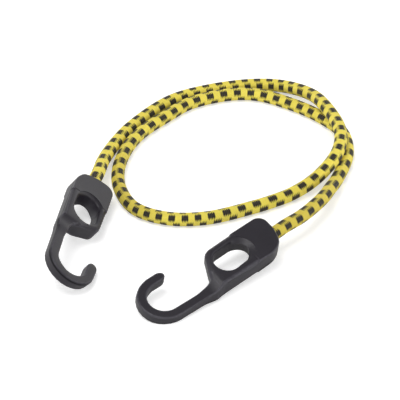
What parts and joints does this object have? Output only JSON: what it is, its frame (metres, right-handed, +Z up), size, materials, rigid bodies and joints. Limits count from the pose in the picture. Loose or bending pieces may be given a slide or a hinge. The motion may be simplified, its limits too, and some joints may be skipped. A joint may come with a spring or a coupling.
{
  "type": "bungee cord",
  "caption": "Elastic braided cord lying in a loose double loop, with a flat moulded plastic hook with a finger eye on each end.",
  "frame": {"origin": "on the surface the cord lies on, under the middle of the box round the two hooks", "axes": "+Z up, +Y from the hooks towards the far side of the loop, +X from hook A towards hook B"},
  "size_m": [0.1816, 0.2436, 0.0238],
  "materials": {
    "hook_plastic": "satin moulded black",
    "braid": "woven yellow with black checks",
    "core_rubber": "plain"
  },
  "bodies": {
    "cord": {"braided_cover": "braid", "core_strand_1": "core_rubber", "core_strand_2": "core_rubber", "core_strand_3": "core_rubber", "core_strand_4": "core_rubber", "core_strand_5": "core_rubber", "core_strand_6": "core_rubber", "core_strand_7": "core_rubber"},
    "hook_a": {"hook_a": "hook_plastic"},
    "hook_b": {"hook_b": "hook_plastic"}
  },
  "joints": [
    {"name": "hook_a_twist", "type": "hinge", "parent": "cord", "child": "hook_a", "pos_m": [-0.0419, 0.0585, 0.01166], "axis": [-0.1599, -0.987, 0.0166], "range_deg": [-180, 180]},
    {"name": "hook_b_twist", "type": "hinge", "parent": "cord", "child": "hook_b", "pos_m": [0.0615, 0.0031, 0.01278], "axis": [-0.7584, -0.6455, -0.0906], "range_deg": [-180, 180]}
  ]
}
